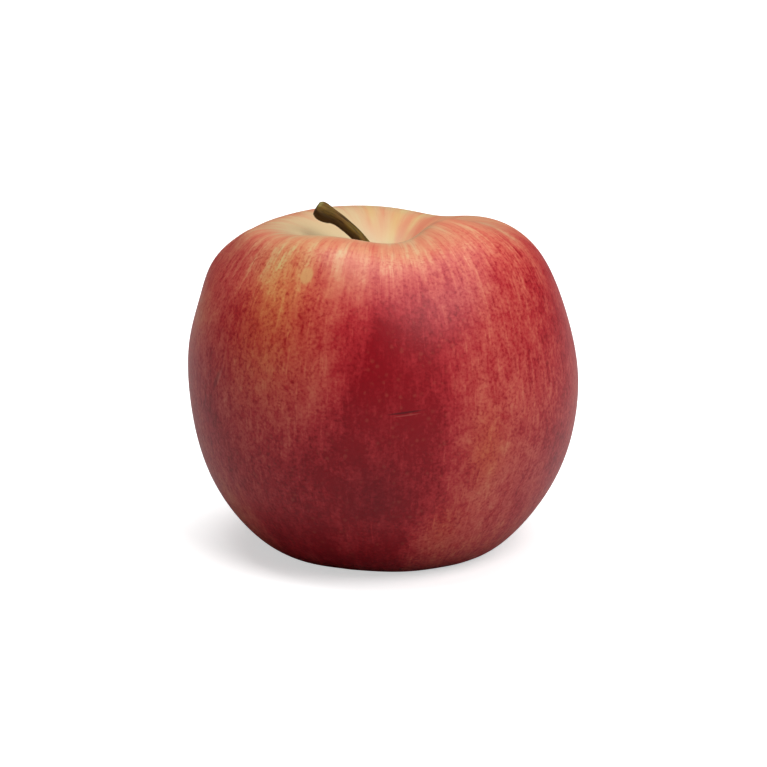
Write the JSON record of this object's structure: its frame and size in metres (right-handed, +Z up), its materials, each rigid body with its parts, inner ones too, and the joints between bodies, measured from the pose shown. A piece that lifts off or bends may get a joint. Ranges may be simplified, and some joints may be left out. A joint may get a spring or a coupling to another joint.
{
  "type": "apple",
  "caption": "Whole red apple with a lopsided lobed crown, a deep stem cavity, a bent woody stem and a dried calyx, standing on its base.",
  "frame": {"origin": "on the surface that the apple stands on, under the middle of its outline", "axes": "+Z up towards the stem, -Y towards the front that the picture shows, +X to the right of that view"},
  "size_m": [0.078, 0.078, 0.0706],
  "materials": {
    "apple_skin": "waxy satin skin, dark red over yellow with fine streaks and pale flecks",
    "stem_bark": "dull brown bark with an olive green end",
    "dried_calyx": "dull dry brown"
  },
  "bodies": {
    "root": {"fruit": "apple_skin", "stem": "stem_bark", "calyx": "dried_calyx"}
  },
  "joints": []
}
